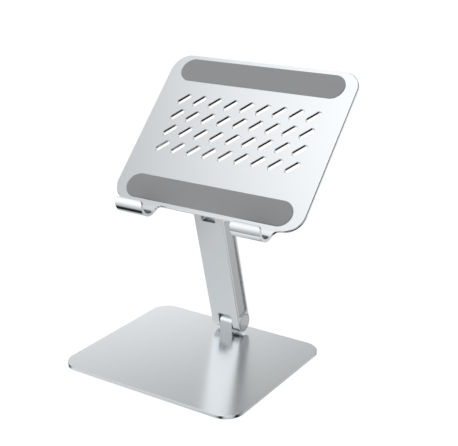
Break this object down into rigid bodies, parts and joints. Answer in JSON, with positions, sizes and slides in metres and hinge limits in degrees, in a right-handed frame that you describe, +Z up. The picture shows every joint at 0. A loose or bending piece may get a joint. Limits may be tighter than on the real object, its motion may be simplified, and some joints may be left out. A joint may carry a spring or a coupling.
{
  "type": "laptop stand",
  "caption": "Folding desk stand for a laptop: flat base plate, leaning arm on friction hinges, and a tilted tray with slanted vent slots, soft pads and curled hooks.",
  "frame": {"origin": "on the desk, under the middle of the base plate", "axes": "+X to the user's right, along the hinge pins; +Y away from the user; +Z up"},
  "size_m": [0.23, 0.2346, 0.2903],
  "materials": {
    "base_metal": "fine satin silver, glossy enough for a blurred reflection",
    "tray_metal": "bead-blasted and anodised silver with bright chamfers",
    "arm_metal": "bead-blasted and anodised silver",
    "block_metal": "satin anodised silver",
    "cap_metal": "satin anodised silver, turned",
    "hardware_steel": "zinc-plated steel",
    "spring_steel": "oiled spring steel",
    "friction_liner": "dark friction plastic",
    "pad_rubber": "matte grey silicone rubber",
    "base_rubber": "matte dark silicone rubber"
  },
  "bodies": {
    "base": {"base_plate": "base_metal", "base_pad": "base_rubber", "base_hinge_block": "block_metal", "base_block_screws": "hardware_steel"},
    "arm": {"arm": "arm_metal", "lower_hinge_pin": "hardware_steel", "lower_friction_washers": "friction_liner", "lower_disc_springs": "spring_steel", "lower_lock_nut": "hardware_steel", "lower_cap_left": "cap_metal", "lower_cap_right": "cap_metal", "upper_hinge_pin": "hardware_steel", "upper_friction_washers": "friction_liner", "upper_disc_springs": "spring_steel", "upper_lock_nut": "hardware_steel", "upper_cap_left": "cap_metal", "upper_cap_right": "cap_metal"},
    "tray": {"tray_plate": "tray_metal", "tray_hinge_block": "block_metal", "tray_block_screws": "hardware_steel", "tray_pad_upper": "pad_rubber", "tray_pad_lower": "pad_rubber", "hook_liner_left": "pad_rubber", "hook_liner_right": "pad_rubber"}
  },
  "joints": [
    {"name": "lower_hinge", "type": "hinge", "parent": "base", "child": "arm", "pos_m": [0, 0.07275, 0.01735], "axis": [-1, 0, 0], "range_deg": [-60, 45]},
    {"name": "upper_hinge", "type": "hinge", "parent": "arm", "child": "tray", "pos_m": [0, 0.03644, 0.15876], "axis": [1, 0, 0], "range_deg": [-115, 55]}
  ]
}
